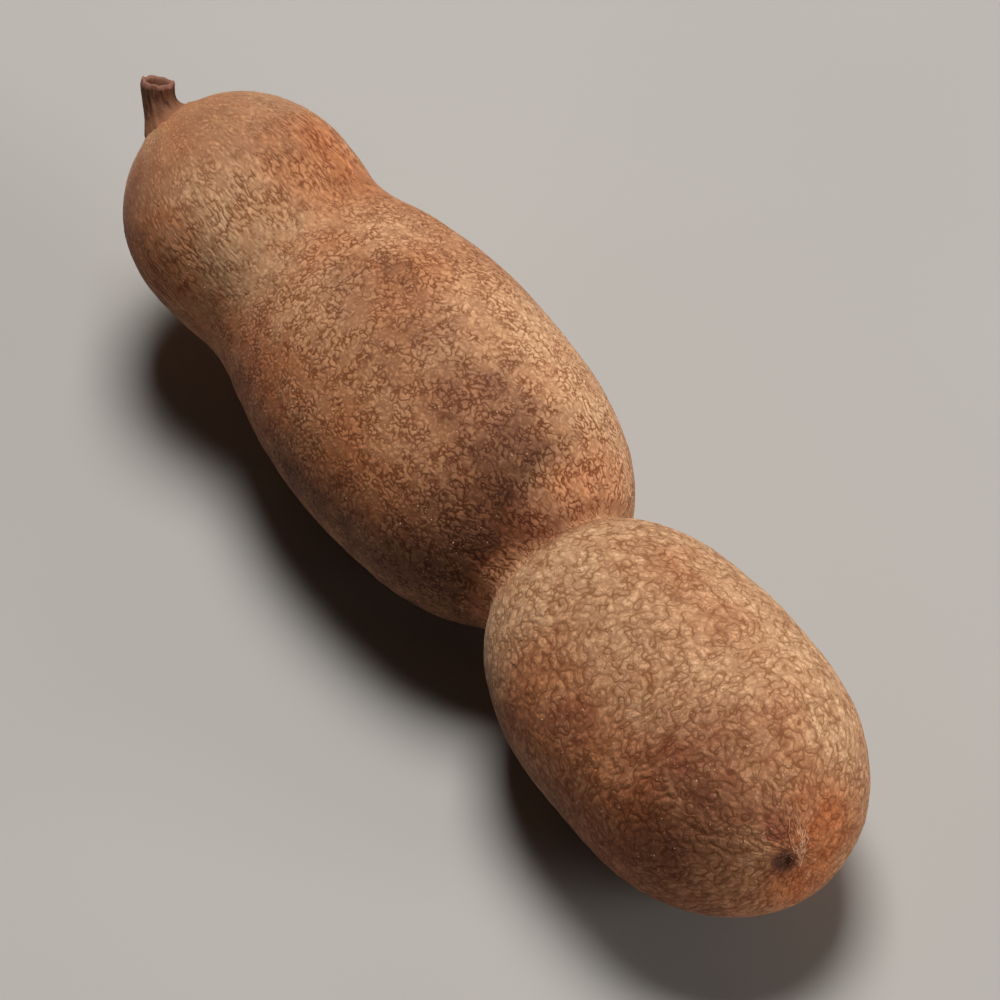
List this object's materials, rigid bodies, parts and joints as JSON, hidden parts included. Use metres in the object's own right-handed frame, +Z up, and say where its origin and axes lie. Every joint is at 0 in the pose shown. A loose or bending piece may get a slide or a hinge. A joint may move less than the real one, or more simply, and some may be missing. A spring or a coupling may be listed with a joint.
{
  "type": "tamarind pod",
  "caption": "Whole ripe tamarind pod lying on its side: a lumpy brown shell drawn in at a tight waist, with a short broken stub of stalk at one end and a style scar at the other.",
  "frame": {"origin": "on the surface that the pod rests on, at the middle of its bounding box", "axes": "+X along the pod from the stalk to the tip, +Z up from the surface it rests on, +Y level, to the side where the middle lobe bulges"},
  "size_m": [0.0812, 0.0232, 0.0217],
  "materials": {
    "shell": "dry matt scurfy shell, finely crackled, cinnamon brown with darker and redder blotches",
    "stalk": "dry brown woody stalk with a paler broken end"
  },
  "bodies": {
    "root": {"pod": "shell", "stalk": "stalk"}
  },
  "joints": []
}
